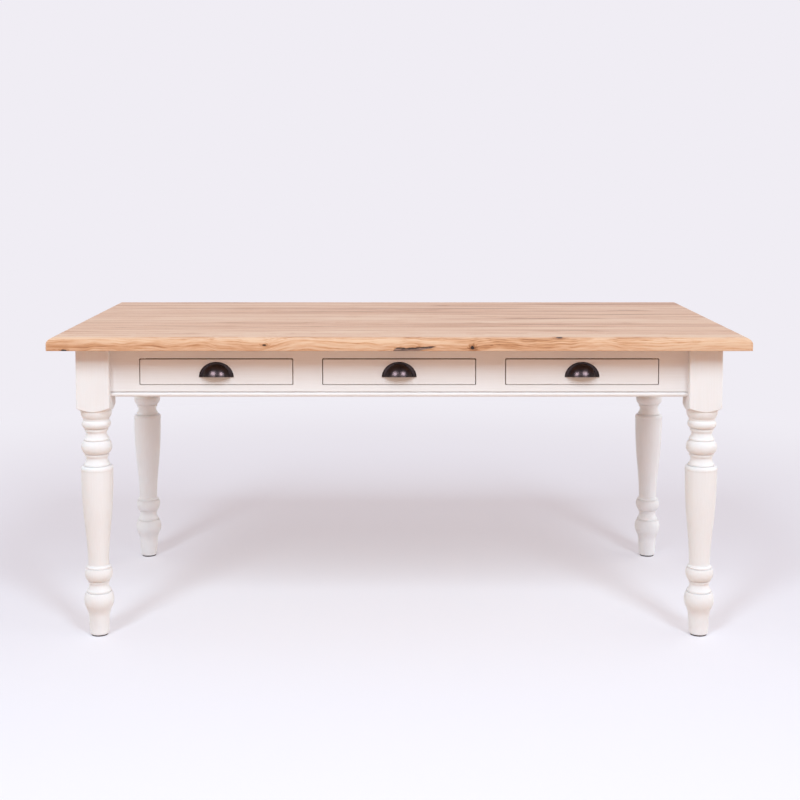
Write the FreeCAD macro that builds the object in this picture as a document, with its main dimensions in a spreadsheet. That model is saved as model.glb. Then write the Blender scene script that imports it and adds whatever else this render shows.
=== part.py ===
import FreeCAD, Part
import math
import os
import re
import Sketcher

# A farmhouse kitchen table: an oak top of glued boards on a painted frame of four turned legs and four
# aprons, with three drawers in the front apron. Millimetres, +X along the table, the front faces -Y, +Z up,
# and the origin is on the floor under the middle of the top.

doc = FreeCAD.newDocument("kitchen_table")
sheet = doc.addObject("Spreadsheet::Sheet", "Sizes")

SIZES = (
    # The top and its boards
    ("top_length", 1750),
    ("top_depth", 900),
    ("top_thickness", 33),
    ("table_height", 780),
    ("top_round", 20),
    ("top_arris", 2),
    ("top_corner_round", 5),
    ("board_count", 8),
    # The legs: a square block above a turned length, on a thin glide
    ("end_overhang", 62),
    ("front_overhang", 50),
    ("leg_side", 83),
    ("leg_edge_round", 3),
    ("block_height", 163),
    ("shoulder_rise", 13),
    ("glide_radius", 21),
    ("glide_thickness", 4),
    # The aprons, tenoned into the legs, with a bead along the lower edge
    ("apron_setback", 22),
    ("apron_thickness", 22),
    ("apron_height", 126.5),
    ("bead_size", 12),
    ("quirk_width", 1.8),
    ("tenon_length", 35),
    ("tenon_thickness", 10),
    ("tenon_shoulder", 23),
    # The drawer openings in the front apron, with a stile of plain wood beside each
    ("stile_width", 73.25),
    ("opening_height", 68),
    ("opening_rise", 30.5),
    ("opening_round", 3),
    # The drawers
    ("front_gap", 2),
    ("gap_above", 2.8),
    ("gap_below", 1.2),
    ("front_thickness", 20),
    ("front_edge_round", 1.5),
    ("drawer_depth", 450),
    ("side_thickness", 12),
    ("side_height", 58),
    ("side_lap", 12),
    ("back_thickness", 12),
    ("back_housing", 4),
    ("panel_thickness", 6),
    ("panel_rise", 8),
    ("panel_groove", 6),
    # What the drawers run on
    ("bearer_thickness", 18),
    ("bearing_width", 22),
    ("guide_clearance", 0.8),
    ("outer_guide_width", 30),
    ("guide_height", 30),
    ("kicker_width", 40),
    ("kicker_clearance", 0.8),
    ("stop_width", 20),
    ("stop_length", 25),
    ("stop_height", 16),
    # The buttons that hold the top down, and their screws
    ("button_length", 44),
    ("button_width", 32),
    ("button_thickness", 18),
    ("button_spacing", 360),
    ("tongue_length", 8),
    ("tongue_height", 6),
    ("tongue_drop", 6),
    ("tongue_play", 0.6),
    ("wood_screw_radius", 2),
    ("wood_screw_head_radius", 4),
    ("wood_screw_head_height", 2.4),
    ("wood_screw_bite", 14),
    # The cup pulls and their screws
    ("pull_width", 88),
    ("pull_height", 39),
    ("pull_rise", 18.8),
    ("flange_rise", 7),
    ("cup_width", 70),
    ("cup_height", 35.5),
    ("cup_projection", 24),
    ("cup_wall", 2.4),
    ("lip_rise", 3.6),
    ("pull_screw_spacing", 72),
    ("pull_screw_rise", 9),
    ("pull_screw_radius", 2),
    ("pull_screw_bite", 2.4),
    ("pull_screw_head_radius", 4),
    ("pull_screw_head_height", 2.6),
    ("screw_play", 0.2),
    # How far every cut runs past what it cuts
    ("overrun", 1),
)

# The drawers, as the front is seen, and the middle of each along X
DRAWERS = ("left", "middle", "right")
DRAWER_MIDDLES = ("-drawer_spacing", "0", "drawer_spacing")

FITS = (
    ("underside", "table_height - top_thickness"),
    ("board_width", "top_depth / round(board_count)"),
    ("neck_height", "underside - block_height"),
    ("turned_length", "neck_height - glide_thickness"),
    ("leg_x", "top_length / 2 - end_overhang - leg_side / 2"),
    ("leg_y", "top_depth / 2 - front_overhang - leg_side / 2"),
    ("apron_bottom", "underside - apron_height"),
    ("apron_face_x", "leg_x + leg_side / 2 - apron_setback"),
    ("apron_face_y", "leg_y + leg_side / 2 - apron_setback"),
    ("front_apron_length", "2 * leg_x - leg_side"),
    ("side_apron_length", "2 * leg_y - leg_side"),
    ("tenon_centre", "apron_setback + apron_thickness / 2 - leg_side / 2"),
    ("groove_top", "apron_height - tongue_drop"),
    ("groove_bottom", "groove_top - tongue_height - tongue_play"),
    ("opening_width", f"(front_apron_length - {len(DRAWERS) + 1} * stile_width) / {len(DRAWERS)}"),
    ("drawer_spacing", "opening_width + stile_width"),
    ("drawer_width", "opening_width - 2 * front_gap"),
    ("drawer_height", "opening_height - gap_above - gap_below"),
    ("drawer_bottom", "apron_bottom + opening_rise + gap_below"),
    ("inner_width", "drawer_width - 2 * side_thickness"),
    ("panel_top", "panel_rise + panel_thickness"),
    ("side_front", "front_thickness - side_lap"),
    ("back_front", "drawer_depth - back_thickness"),
    ("run_length", "2 * (apron_face_y - apron_thickness)"),
    ("kicker_bottom", "drawer_bottom + side_height + kicker_clearance"),
    ("button_end_x", "(drawer_spacing + opening_width / 2 + front_apron_length / 2) / 2"),
    ("button_reach", "apron_thickness + button_length / 2"),
    ("wood_screw_length", "button_thickness + wood_screw_bite"),
    ("pull_screw_length", "front_thickness + pull_screw_bite"),
)

# The turned part of a leg, from the foot up: the radius as a share of half the block's side, the height as
# a share of the turned length, and the bulge share of the line that leaves the point. A bulge is the tangent
# of a quarter of the arc's angle: 0 is straight, above 0 swells out as a bead and below 0 hollows as a cove.
LEG_TURNING_SHARES = (
    (0.560, 0.000, 0.00),
    (0.588, 0.006, 0.00),
    (0.640, 0.072, -0.12),
    (0.800, 0.119, 0.25),
    (0.790, 0.187, 0.00),
    (0.700, 0.187, 0.00),
    (0.700, 0.190, 0.00),
    (0.740, 0.190, 0.00),
    (0.740, 0.196, -0.21),
    (0.585, 0.230, 0.00),
    (0.645, 0.230, 0.00),
    (0.645, 0.237, 0.00),
    (0.605, 0.237, 0.00),
    (0.605, 0.240, 0.00),
    (0.685, 0.240, 0.28),
    (0.783, 0.295, 0.00),
    (0.712, 0.295, 0.00),
    (0.712, 0.298, 0.00),
    (0.750, 0.298, 0.00),
    (0.750, 0.303, -0.30),
    (0.628, 0.312, -0.02),
    (0.754, 0.460, 0.03),
    (0.972, 0.734, 0.36),
    (0.885, 0.754, 0.00),
    (0.748, 0.754, 0.00),
    (0.748, 0.757, 0.00),
    (0.785, 0.757, 0.00),
    (0.785, 0.763, -0.24),
    (0.672, 0.798, 0.00),
    (0.740, 0.798, 0.00),
    (0.740, 0.806, 0.00),
    (0.705, 0.806, 0.00),
    (0.705, 0.810, 0.00),
    (0.770, 0.810, 0.43),
    (0.778, 0.866, 0.00),
    (0.738, 0.866, 0.00),
    (0.738, 0.869, 0.00),
    (0.772, 0.869, 0.00),
    (0.772, 0.875, -0.26),
    (0.640, 0.909, 0.00),
    (0.712, 0.909, 0.00),
    (0.712, 0.919, 0.00),
    (0.675, 0.919, 0.00),
    (0.675, 0.923, 0.00),
    (0.760, 0.923, 0.44),
    (0.790, 0.956, 0.00),
    (0.790, 0.967, 0.00),
    (0.825, 0.967, 0.17),
    (0.947, 1.000, 0.00),
)

QUARTER_TURN_SHARE = math.tan(math.pi / 8)
SHOULDER_BULGE_SHARE = 0.06
SHOULDER_REACH_SHARE = 1.5

for row, (alias, value) in enumerate(SIZES, start=1):
    sheet.set(f"A{row}", alias)
    sheet.set(f"B{row}", str(value))
    sheet.setAlias(f"B{row}", alias)
for row, (alias, formula) in enumerate(FITS, start=1):
    sheet.set(f"C{row}", alias)
    sheet.set(f"D{row}", "=" + formula)
    sheet.setAlias(f"D{row}", alias)
doc.recompute()

NAMES = {alias for alias, _ in SIZES + FITS}
nodes = []


def bound(formula):
    """The formula with each size named in it pointed at the sheet."""
    return re.sub("[a-z_]+", lambda word: f"Sizes.{word[0]}" if word[0] in NAMES else word[0], formula)


def number(formula):
    """The formula's value at the sheet's present sizes."""
    return float(sheet.evalExpression(bound(formula)))


def keep(piece, label):
    """Make the object one of the table's pieces, under the name of its file."""
    piece.Label = label
    nodes.append(piece)
    return piece


def place(piece, x="0", y="0", z="0", turn=0):
    """Turn the piece about +Z by degrees and bind its place."""
    piece.Placement = FreeCAD.Placement(FreeCAD.Vector(), FreeCAD.Rotation(FreeCAD.Vector(0, 0, 1), turn))
    for axis, formula in zip("xyz", (x, y, z)):
        piece.setExpression(f"Placement.Base.{axis}", bound(formula))
    return piece


def arc_middle(start, end, bulge):
    """The point half way along the arc from start to end with this bulge."""
    chord = end - start
    return (start + end) / 2 + FreeCAD.Vector(chord.y, -chord.x, 0) * (bulge / 2)


def sketch_on(body, plane, name, lift="0"):
    """An empty sketch on one of the body's own planes, lifted along that plane's normal."""
    sketch = body.newObject("Sketcher::SketchObject", name)
    support = next(feature for feature in body.Origin.OriginFeatures if feature.Role == plane)
    sketch.AttachmentSupport = (support, [""])
    sketch.MapMode = "FlatFace"
    sketch.setExpression("AttachmentOffset.Base.z", bound(lift))
    return sketch


def tie(sketch, constraint, formula):
    """Add a size to the sketch and bind it to the sheet."""
    index = sketch.addConstraint(constraint)
    sketch.setExpression(f"Constraints[{index}]", bound(formula))


def draw_outline(sketch, corners):
    """Draw a closed outline. Each corner is two formulas and the bulge share of the side that leaves it."""
    points = [FreeCAD.Vector(number(across), number(up), 0) for across, up, _ in corners]
    first = sketch.GeometryCount
    count = len(corners)
    starts = []
    ends = []
    for index, (_, _, bulge) in enumerate(corners):
        start = points[index]
        end = points[(index + 1) % count]
        if bulge == 0:
            sketch.addGeometry(Part.LineSegment(start, end))
        elif bulge > 0:
            sketch.addGeometry(Part.Arc(start, arc_middle(start, end, bulge), end))
        else:
            sketch.addGeometry(Part.Arc(end, arc_middle(start, end, bulge), start))
        starts.append(2 if bulge < 0 else 1)
        ends.append(1 if bulge < 0 else 2)
    for index, (across, up, bulge) in enumerate(corners):
        geometry = first + index
        following = first + (index + 1) % count
        sketch.addConstraint(
            Sketcher.Constraint("Coincident", geometry, ends[index], following, starts[(index + 1) % count])
        )
        for kind, formula, value, axis in (
            ("DistanceX", across, points[index].x, -2),
            ("DistanceY", up, points[index].y, -1),
        ):
            if formula == "0":
                sketch.addConstraint(Sketcher.Constraint("PointOnObject", geometry, starts[index], axis))
            else:
                tie(sketch, Sketcher.Constraint(kind, -1, 1, geometry, starts[index], value), formula)
        if bulge != 0:
            next_across, next_up, _ = corners[(index + 1) % count]
            chord = f"sqrt(({next_across} - ({across}))^2 + ({next_up} - ({up}))^2)"
            radius_share = (1 + bulge**2) / (4 * abs(bulge))
            radius = f"{chord} * {radius_share}"
            tie(sketch, Sketcher.Constraint("Radius", geometry, number(radius)), radius)


def rectangle(left, bottom, right, top):
    """The four corners of a rectangle."""
    return [(left, bottom, 0), (right, bottom, 0), (right, top, 0), (left, top, 0)]


def rounded_rectangle(left, bottom, right, top, radius):
    """The outline of a rectangle with quarter-round corners."""
    turn = QUARTER_TURN_SHARE
    return [
        (f"{left} + {radius}", bottom, 0),
        (f"{right} - {radius}", bottom, turn),
        (right, f"{bottom} + {radius}", 0),
        (right, f"{top} - {radius}", turn),
        (f"{right} - {radius}", top, 0),
        (f"{left} + {radius}", top, turn),
        (left, f"{top} - {radius}", 0),
        (left, f"{bottom} + {radius}", turn),
    ]


def draw_circle(sketch, across, up, radius):
    """Draw a circle about a bound centre."""
    centre = FreeCAD.Vector(number(across), number(up), 0)
    index = sketch.addGeometry(Part.Circle(centre, FreeCAD.Vector(0, 0, 1), number(radius)))
    tie(sketch, Sketcher.Constraint("DistanceX", -1, 1, index, 3, centre.x), across)
    tie(sketch, Sketcher.Constraint("DistanceY", -1, 1, index, 3, centre.y), up)
    tie(sketch, Sketcher.Constraint("Radius", index, number(radius)), radius)


def extrude(body, kind, sketch, length, side="One side", reverse=False):
    """Pad or pocket the sketch by a bound length."""
    feature = body.newObject(f"PartDesign::{kind}", f"{kind}_{sketch.Name}")
    feature.Profile = sketch
    feature.SideType = side
    feature.Reversed = reverse
    feature.setExpression("Length", bound(length))
    return feature


def turn_about_z(body, kind, sketch):
    """Revolve or groove the sketch a full turn about the body's upright axis."""
    feature = body.newObject(f"PartDesign::{kind}", f"{kind}_{sketch.Name}")
    feature.Profile = sketch
    feature.ReferenceAxis = (sketch, ["V_Axis"])
    feature.Angle = 360
    return feature


def bar(label, plane, corners, length, side="One side", reverse=False):
    """A body of one section, padded along the plane's normal."""
    body = doc.addObject("PartDesign::Body", label)
    section = sketch_on(body, plane, f"{label}_section")
    draw_outline(section, corners)
    extrude(body, "Pad", section, length, side, reverse)
    return body


def leg(label, x, y, turn):
    """A turned leg with mortises in its two inner faces. At no turn these face +X and +Y."""
    body = doc.addObject("PartDesign::Body", label)
    turning = sketch_on(body, "XZ_Plane", f"{label}_turning")
    profile = [
        (f"leg_side / 2 * {radius_share}", f"glide_thickness + turned_length * {height_share}", bulge_share)
        for radius_share, height_share, bulge_share in LEG_TURNING_SHARES
    ]
    draw_outline(turning, [("0", "glide_thickness", 0)] + profile + [("0", "neck_height", 0)])
    turn_about_z(body, "Revolution", turning)

    block = sketch_on(body, "XY_Plane", f"{label}_block", "neck_height")
    half = "leg_side / 2"
    draw_outline(block, rounded_rectangle(f"-{half}", f"-{half}", half, half, "leg_edge_round"))
    extrude(body, "Pad", block, "block_height")

    shoulder = sketch_on(body, "XZ_Plane", f"{label}_shoulder")
    reach = f"leg_side / 2 * {SHOULDER_REACH_SHARE}"
    neck_radius_share = LEG_TURNING_SHARES[-1][0]
    draw_outline(shoulder, [
        (f"leg_side / 2 * {neck_radius_share}", "neck_height", 0),
        (reach, "neck_height - overrun", 0),
        (reach, "neck_height + shoulder_rise", SHOULDER_BULGE_SHARE),
    ])
    turn_about_z(body, "Groove", shoulder)

    mortise = rectangle(
        "tenon_centre - tenon_thickness / 2", "apron_bottom + tenon_shoulder",
        "tenon_centre + tenon_thickness / 2", "underside - tenon_shoulder",
    )
    for plane, lift, reverse in (("YZ_Plane", half, False), ("XZ_Plane", f"-{half}", True)):
        slot = sketch_on(body, plane, f"{label}_mortise_{plane}", lift)
        draw_outline(slot, mortise)
        extrude(body, "Pocket", slot, "tenon_length", reverse=reverse)
    keep(place(body, x, y, turn=turn), label)


def glide(label, x, y):
    """The thin round glide under a leg."""
    disc = doc.addObject("Part::Cylinder", label)
    disc.setExpression("Radius", bound("glide_radius"))
    disc.setExpression("Height", bound("glide_thickness"))
    keep(place(disc, x, y), label)


def apron(label, length, x, y, turn, openings=()):
    """An apron with a quirked bead, a groove for the top's buttons and a tenon at each end."""
    bead = "bead_size / 2"
    quarter = QUARTER_TURN_SHARE
    body = bar(label, "YZ_Plane", [
        ("0", "apron_height", 0),
        ("0", "bead_size + quirk_width", 0),
        (bead, "bead_size + quirk_width", 0),
        (bead, "bead_size", quarter),
        ("0", bead, quarter),
        (bead, "0", 0),
        ("apron_thickness", "0", 0),
        ("apron_thickness", "groove_bottom", 0),
        ("apron_thickness - tongue_length - tongue_play", "groove_bottom", 0),
        ("apron_thickness - tongue_length - tongue_play", "groove_top", 0),
        ("apron_thickness", "groove_top", 0),
        ("apron_thickness", "apron_height", 0),
    ], length, "Symmetric")

    tenon = sketch_on(body, "YZ_Plane", f"{label}_tenon")
    draw_outline(tenon, rectangle(
        "(apron_thickness - tenon_thickness) / 2", "tenon_shoulder",
        "(apron_thickness + tenon_thickness) / 2", "apron_height - tenon_shoulder",
    ))
    extrude(body, "Pad", tenon, f"{length} + 2 * tenon_length", "Symmetric")

    for index, middle in enumerate(openings, start=1):
        opening = sketch_on(body, "XZ_Plane", f"{label}_opening_{index}", "overrun")
        draw_outline(opening, rounded_rectangle(
            f"{middle} - opening_width / 2", "opening_rise",
            f"{middle} + opening_width / 2", "opening_rise + opening_height", "opening_round",
        ))
        extrude(body, "Pocket", opening, "apron_thickness + 2 * overrun")
    keep(place(body, x, y, "apron_bottom", turn), label)


def top_board(index, count, holes):
    """One board of the top, with its ends rounded over, and its long edge too where it is an outer board."""
    label = f"top_board_{index}"
    end = "top_length / 2"
    quarter = QUARTER_TURN_SHARE
    body = bar(f"{label}_blank", "XZ_Plane", [
        (f"-{end} + top_arris", "0", 0),
        (f"{end} - top_arris", "0", quarter),
        (end, "top_arris", 0),
        (end, "top_thickness - top_round", quarter),
        (f"{end} - top_round", "top_thickness", 0),
        (f"-{end} + top_round", "top_thickness", quarter),
        (f"-{end}", "top_thickness - top_round", 0),
        (f"-{end}", "top_arris", quarter),
    ], "board_width", reverse=True)

    for outer, edge, inward in ((index == 1, "0", 1), (index == count, "board_width", -1)):
        if outer:
            round_long_edge(body, label, edge, inward)
            round_corners(body, label, edge, inward)
    place(body, "0", f"-top_depth / 2 + {index - 1} * board_width", "underside")
    board = doc.addObject("Part::Cut", label)
    board.Base = body
    board.Tool = holes
    keep(board, label)


def round_long_edge(body, label, edge, inward):
    """Round the long edges at one side of a board. Inward is 1 or -1, the way into the board."""
    past = f"{edge} - {inward} * overrun"
    quarter = -inward * QUARTER_TURN_SHARE
    upper = [
        (edge, "top_thickness - top_round", quarter),
        (f"{edge} + {inward} * top_round", "top_thickness", 0),
        (f"{edge} + {inward} * top_round", "top_thickness + overrun", 0),
        (past, "top_thickness + overrun", 0),
        (past, "top_thickness - top_round", 0),
    ]
    lower = [
        (edge, "top_arris", -quarter),
        (f"{edge} + {inward} * top_arris", "0", 0),
        (f"{edge} + {inward} * top_arris", "-overrun", 0),
        (past, "-overrun", 0),
        (past, "top_arris", 0),
    ]
    for name, outline in (("upper", upper), ("lower", lower)):
        waste = sketch_on(body, "YZ_Plane", f"{label}_{name}_waste")
        draw_outline(waste, outline)
        extrude(body, "Pocket", waste, "top_length + 2 * overrun", "Symmetric")


def round_corners(body, label, edge, inward):
    """Round the two outer corners of the top, seen from above."""
    past_edge = f"{edge} - {inward} * overrun"
    for side in (-1, 1):
        end = f"{side} * top_length / 2"
        past_end = f"{end} + {side} * overrun"
        waste = sketch_on(body, "XY_Plane", f"{label}_corner_waste_{side + 1}", "-overrun")
        draw_outline(waste, [
            (f"{end} - {side} * top_corner_round", edge, side * inward * QUARTER_TURN_SHARE),
            (end, f"{edge} + {inward} * top_corner_round", 0),
            (past_end, f"{edge} + {inward} * top_corner_round", 0),
            (past_end, past_edge, 0),
            (f"{end} - {side} * top_corner_round", past_edge, 0),
        ])
        extrude(body, "Pocket", waste, "top_thickness + 2 * overrun", reverse=True)


def group(label, pieces):
    """Loose solids of one kind, kept together as one piece of the list."""
    compound = doc.addObject("Part::Compound", label)
    compound.Links = pieces
    return keep(compound, label)


def button(name, x, y, turn):
    """A wooden button, its tongue towards -Y at no turn, with a countersunk hole on its own axis."""
    near = "-button_length / 2"
    tongue_top = "button_thickness - tongue_drop"
    body = bar(name, "YZ_Plane", [
        (near, "0", 0),
        ("button_length / 2", "0", 0),
        ("button_length / 2", "button_thickness", 0),
        (near, "button_thickness", 0),
        (near, tongue_top, 0),
        (f"{near} - tongue_length", tongue_top, 0),
        (f"{near} - tongue_length", f"{tongue_top} - tongue_height", 0),
        (near, f"{tongue_top} - tongue_height", 0),
    ], "button_width", "Symmetric")
    hole = sketch_on(body, "XZ_Plane", f"{name}_hole")
    draw_outline(hole, [
        ("0", "-overrun", 0),
        ("wood_screw_head_radius + screw_play", "-overrun", 0),
        ("wood_screw_head_radius + screw_play", "screw_play", 0),
        ("wood_screw_radius + screw_play", "wood_screw_head_height + screw_play", 0),
        ("wood_screw_radius + screw_play", "button_thickness + overrun", 0),
        ("0", "button_thickness + overrun", 0),
    ])
    turn_about_z(body, "Groove", hole)
    return place(body, x, y, "underside - button_thickness", turn)


def wood_screw(name, x, y):
    """The countersunk screw through a button into the top."""
    body = doc.addObject("PartDesign::Body", name)
    profile = sketch_on(body, "XZ_Plane", f"{name}_profile")
    draw_outline(profile, [
        ("0", "0", 0),
        ("wood_screw_head_radius", "0", 0),
        ("wood_screw_radius", "wood_screw_head_height", 0),
        ("wood_screw_radius", "wood_screw_length - wood_screw_radius", 0),
        ("0", "wood_screw_length", 0),
    ])
    turn_about_z(body, "Revolution", profile)
    return place(body, x, y, "underside - button_thickness")


def pilot_hole(name, x, y):
    """The hole that a button's screw leaves in the top."""
    hole = doc.addObject("Part::Cylinder", name)
    hole.setExpression("Radius", bound("wood_screw_radius"))
    hole.setExpression("Height", bound("wood_screw_bite + overrun"))
    return place(hole, x, y, "underside - overrun")


def runner(label, left, right, bottom, top):
    """A straight length from the front apron to the back one."""
    body = bar(label, "XZ_Plane", rectangle(left, bottom, right, top), "run_length", "Symmetric")
    keep(place(body), label)


def drawer_supports(middles):
    """The bearers under the drawers' sides, the guides between them and the kickers above."""
    half = "drawer_width / 2"
    outer = f"({half} + guide_clearance + outer_guide_width)"
    spans = [(f"{middles[0]} - {outer}", f"{middles[0]} - {half} - guide_clearance")]
    for left, right in zip(middles, middles[1:]):
        spans.append((f"{left} + {half} + guide_clearance", f"{right} - {half} - guide_clearance"))
    spans.append((f"{middles[-1]} + {half} + guide_clearance", f"{middles[-1]} + {outer}"))
    rest = "(guide_clearance + bearing_width)"
    for index, (left, right) in enumerate(spans, start=1):
        bearer_left = left if index == 1 else f"{left} - {rest}"
        bearer_right = right if index == len(spans) else f"{right} + {rest}"
        runner(f"drawer_bearer_{index}", bearer_left, bearer_right,
               "drawer_bottom - bearer_thickness", "drawer_bottom")
        runner(f"drawer_guide_{index}", left, right, "drawer_bottom", "drawer_bottom + guide_height")
    for name, middle in zip(DRAWERS, middles):
        runner(f"drawer_kicker_{name}", f"{middle} - kicker_width / 2", f"{middle} + kicker_width / 2",
               "kicker_bottom", "underside")


def stop_block(name, x):
    """A block on a bearer that the end of a drawer's side meets."""
    block = doc.addObject("Part::Box", name)
    for axis, formula in (("Length", "stop_width"), ("Width", "stop_length"), ("Height", "stop_height")):
        block.setExpression(axis, bound(formula))
    return place(block, x, "-apron_face_y + drawer_depth", "drawer_bottom")


def drawer_front(label, middle):
    """A drawer's front: round-edged, rebated for the sides, grooved for the bottom, drilled for the pull."""
    half = "drawer_width / 2"
    body = bar(label, "XZ_Plane", rounded_rectangle(
        f"-{half}", "0", half, "drawer_height", "opening_round"
    ), "front_thickness", reverse=True)
    doc.recompute()
    panel = body.Tip
    faces = panel.Shape.Faces
    shown = min(range(len(faces)), key=lambda index: faces[index].CenterOfMass.y)
    edges = body.newObject("PartDesign::Fillet", f"{label}_edges")
    edges.Base = (panel, [f"Face{shown + 1}"])
    edges.setExpression("Radius", bound("front_edge_round"))

    for side in (-1, 1):
        rebate = sketch_on(body, "XY_Plane", f"{label}_rebate_{side + 1}", "-overrun")
        inner = f"{side} * inner_width / 2"
        past = f"{side} * ({half} + overrun)"
        left, right = (past, inner) if side < 0 else (inner, past)
        draw_outline(rebate, rectangle(left, "side_front", right, "front_thickness + overrun"))
        extrude(body, "Pocket", rebate, "drawer_height + 2 * overrun", reverse=True)

    groove = sketch_on(body, "YZ_Plane", f"{label}_groove")
    draw_outline(groove, rectangle(
        "front_thickness - panel_groove", "panel_rise", "front_thickness + overrun", "panel_top"
    ))
    extrude(body, "Pocket", groove, "drawer_width + 2 * overrun", "Symmetric")

    holes = sketch_on(body, "XZ_Plane", f"{label}_holes", "overrun")
    for side in (-1, 1):
        draw_circle(holes, f"{side} * pull_screw_spacing / 2", "pull_rise + pull_screw_rise",
                    "pull_screw_radius + screw_play")
    extrude(body, "Pocket", holes, "front_thickness + 2 * overrun")
    keep(place(body, middle, "-apron_face_y", "drawer_bottom"), label)


def drawer_side(label, middle, side):
    """A drawer's side, grooved for the bottom and housed for the back. Side is -1 for the left one."""
    outer = f"{side} * drawer_width / 2"
    inner = f"{side} * inner_width / 2"
    deep = f"{side} * (inner_width / 2 + panel_groove)"
    outline = [
        (outer, "0", 0),
        (inner, "0", 0),
        (inner, "panel_rise", 0),
        (deep, "panel_rise", 0),
        (deep, "panel_top", 0),
        (inner, "panel_top", 0),
        (inner, "side_height", 0),
        (outer, "side_height", 0),
    ]
    body = bar(label, "XZ_Plane", outline, "drawer_depth - side_front", reverse=True)
    housing = sketch_on(body, "XY_Plane", f"{label}_housing", "panel_top")
    deep = f"{side} * (inner_width / 2 + back_housing)"
    past = f"{side} * (inner_width / 2 - overrun)"
    left, right = (deep, past) if side < 0 else (past, deep)
    draw_outline(housing, rectangle(
        left, "back_front - side_front", right, "drawer_depth - side_front + overrun"
    ))
    extrude(body, "Pocket", housing, "side_height", reverse=True)
    keep(place(body, middle, "side_front - apron_face_y", "drawer_bottom"), label)


def drawer_back(label, middle):
    """A drawer's back, which stands on the bottom between the sides."""
    reach = "(inner_width / 2 + back_housing)"
    outline = rectangle(f"-{reach}", "panel_top", reach, "side_height")
    body = bar(label, "XZ_Plane", outline, "back_thickness", reverse=True)
    keep(place(body, middle, "back_front - apron_face_y", "drawer_bottom"), label)


def drawer_bottom(label, middle):
    """A drawer's bottom panel, held in the grooves and run out under the back."""
    reach = "(inner_width / 2 + panel_groove)"
    outline = rectangle(f"-{reach}", "front_thickness - panel_groove", reach, "drawer_depth")
    body = bar(label, "XY_Plane", outline, "panel_thickness")
    keep(place(body, middle, "-apron_face_y", "drawer_bottom + panel_rise"), label)


def ellipsoid(name, width, projection, height):
    """An ellipsoid about the origin from its three half sizes."""
    solid = doc.addObject("Part::Ellipsoid", name)
    for radius, formula in (("Radius1", height), ("Radius2", width), ("Radius3", projection)):
        solid.setExpression(radius, bound(formula))
    return solid


def boolean(kind, name, base, tool):
    """Part's cut, fuse or common of two objects."""
    result = doc.addObject(f"Part::{kind}", name)
    result.Base = base
    result.Tool = tool
    return result


def cup_pull(label, middle):
    """A half-moon cup pull: a domed flange and a hollow cup, open below, whose lip rises towards the front."""
    flange = ellipsoid(f"{label}_flange", "pull_width / 2", "flange_rise", "pull_height")
    cup = ellipsoid(f"{label}_cup", "cup_width / 2", "cup_projection", "cup_height")
    hollow = ellipsoid(
        f"{label}_hollow", "cup_width / 2 - cup_wall", "cup_projection - cup_wall", "cup_height - cup_wall"
    )
    shell = boolean("Cut", f"{label}_shell", boolean("Fuse", f"{label}_outer", flange, cup), hollow)
    front = "-(cup_projection + overrun)"
    quarter = bar(f"{label}_quarter", "YZ_Plane", [
        (front, "lip_rise", 0),
        ("0", "0", 0),
        ("0", "pull_height + overrun", 0),
        (front, "pull_height + overrun", 0),
    ], "pull_width + overrun", "Symmetric")
    half_moon = boolean("Common", f"{label}_half_moon", shell, quarter)
    threads = doc.addObject("Part::Compound", f"{label}_threads")
    threads.Links = [pull_screw_hole(f"{label}_thread_{side + 1}", side) for side in (-1, 1)]
    pull = boolean("Cut", label, half_moon, threads)
    keep(place(pull, middle, "-apron_face_y", "drawer_bottom + pull_rise"), label)


def lie_along_y(piece, x, y, z):
    """Lay an upright piece along +Y and bind its place."""
    place(piece, x, y, z)
    piece.Placement.Rotation = FreeCAD.Rotation(FreeCAD.Vector(1, 0, 0), -90)
    return piece


def pull_screw_hole(name, side):
    """The blind hole in a pull for one of its screws."""
    hole = doc.addObject("Part::Cylinder", name)
    hole.setExpression("Radius", bound("pull_screw_radius + screw_play"))
    hole.setExpression("Height", bound("pull_screw_bite + overrun"))
    return lie_along_y(hole, f"{side} * pull_screw_spacing / 2", "-pull_screw_bite", "pull_screw_rise")


def pull_screw(name, middle, side):
    """A round-headed screw from inside the drawer into the pull."""
    head_top = "pull_screw_length + pull_screw_head_height"
    body = doc.addObject("PartDesign::Body", name)
    profile = sketch_on(body, "XZ_Plane", f"{name}_profile")
    draw_outline(profile, [
        ("0", "0", 0),
        ("pull_screw_radius", "0", 0),
        ("pull_screw_radius", "pull_screw_length", 0),
        ("pull_screw_head_radius", "pull_screw_length", 0),
        ("pull_screw_head_radius", "pull_screw_length + pull_screw_head_height / 2", QUARTER_TURN_SHARE),
        ("pull_screw_head_radius - pull_screw_head_height / 2", head_top, 0),
        ("0", head_top, 0),
    ])
    turn_about_z(body, "Revolution", profile)
    return lie_along_y(
        body, f"{middle} + {side} * pull_screw_spacing / 2", "-apron_face_y - pull_screw_bite",
        "drawer_bottom + pull_rise + pull_screw_rise",
    )


def drawer(name, middle):
    """One drawer with its pull."""
    label = f"drawer_{name}"
    drawer_front(f"{label}_front", middle)
    drawer_side(f"{label}_side_left", middle, -1)
    drawer_side(f"{label}_side_right", middle, 1)
    drawer_back(f"{label}_back", middle)
    drawer_bottom(f"{label}_bottom", middle)
    cup_pull(f"{label}_pull", middle)
    group(f"{label}_pull_screws", [
        pull_screw(f"{label}_pull_screw_{side + 1}", middle, side) for side in (-1, 1)
    ])


BUTTON_PLACES = [
    (f"{side} * {x}", f"{facing} * (apron_face_y - button_reach)", 0 if facing < 0 else 180)
    for facing in (-1, 1)
    for side in (-1, 1)
    for x in ("button_end_x", "drawer_spacing / 2")
] + [
    (f"{facing} * (apron_face_x - button_reach)", f"{side} * button_spacing / 2", facing * 90)
    for facing in (-1, 1)
    for side in (-1, 1)
]

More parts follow.
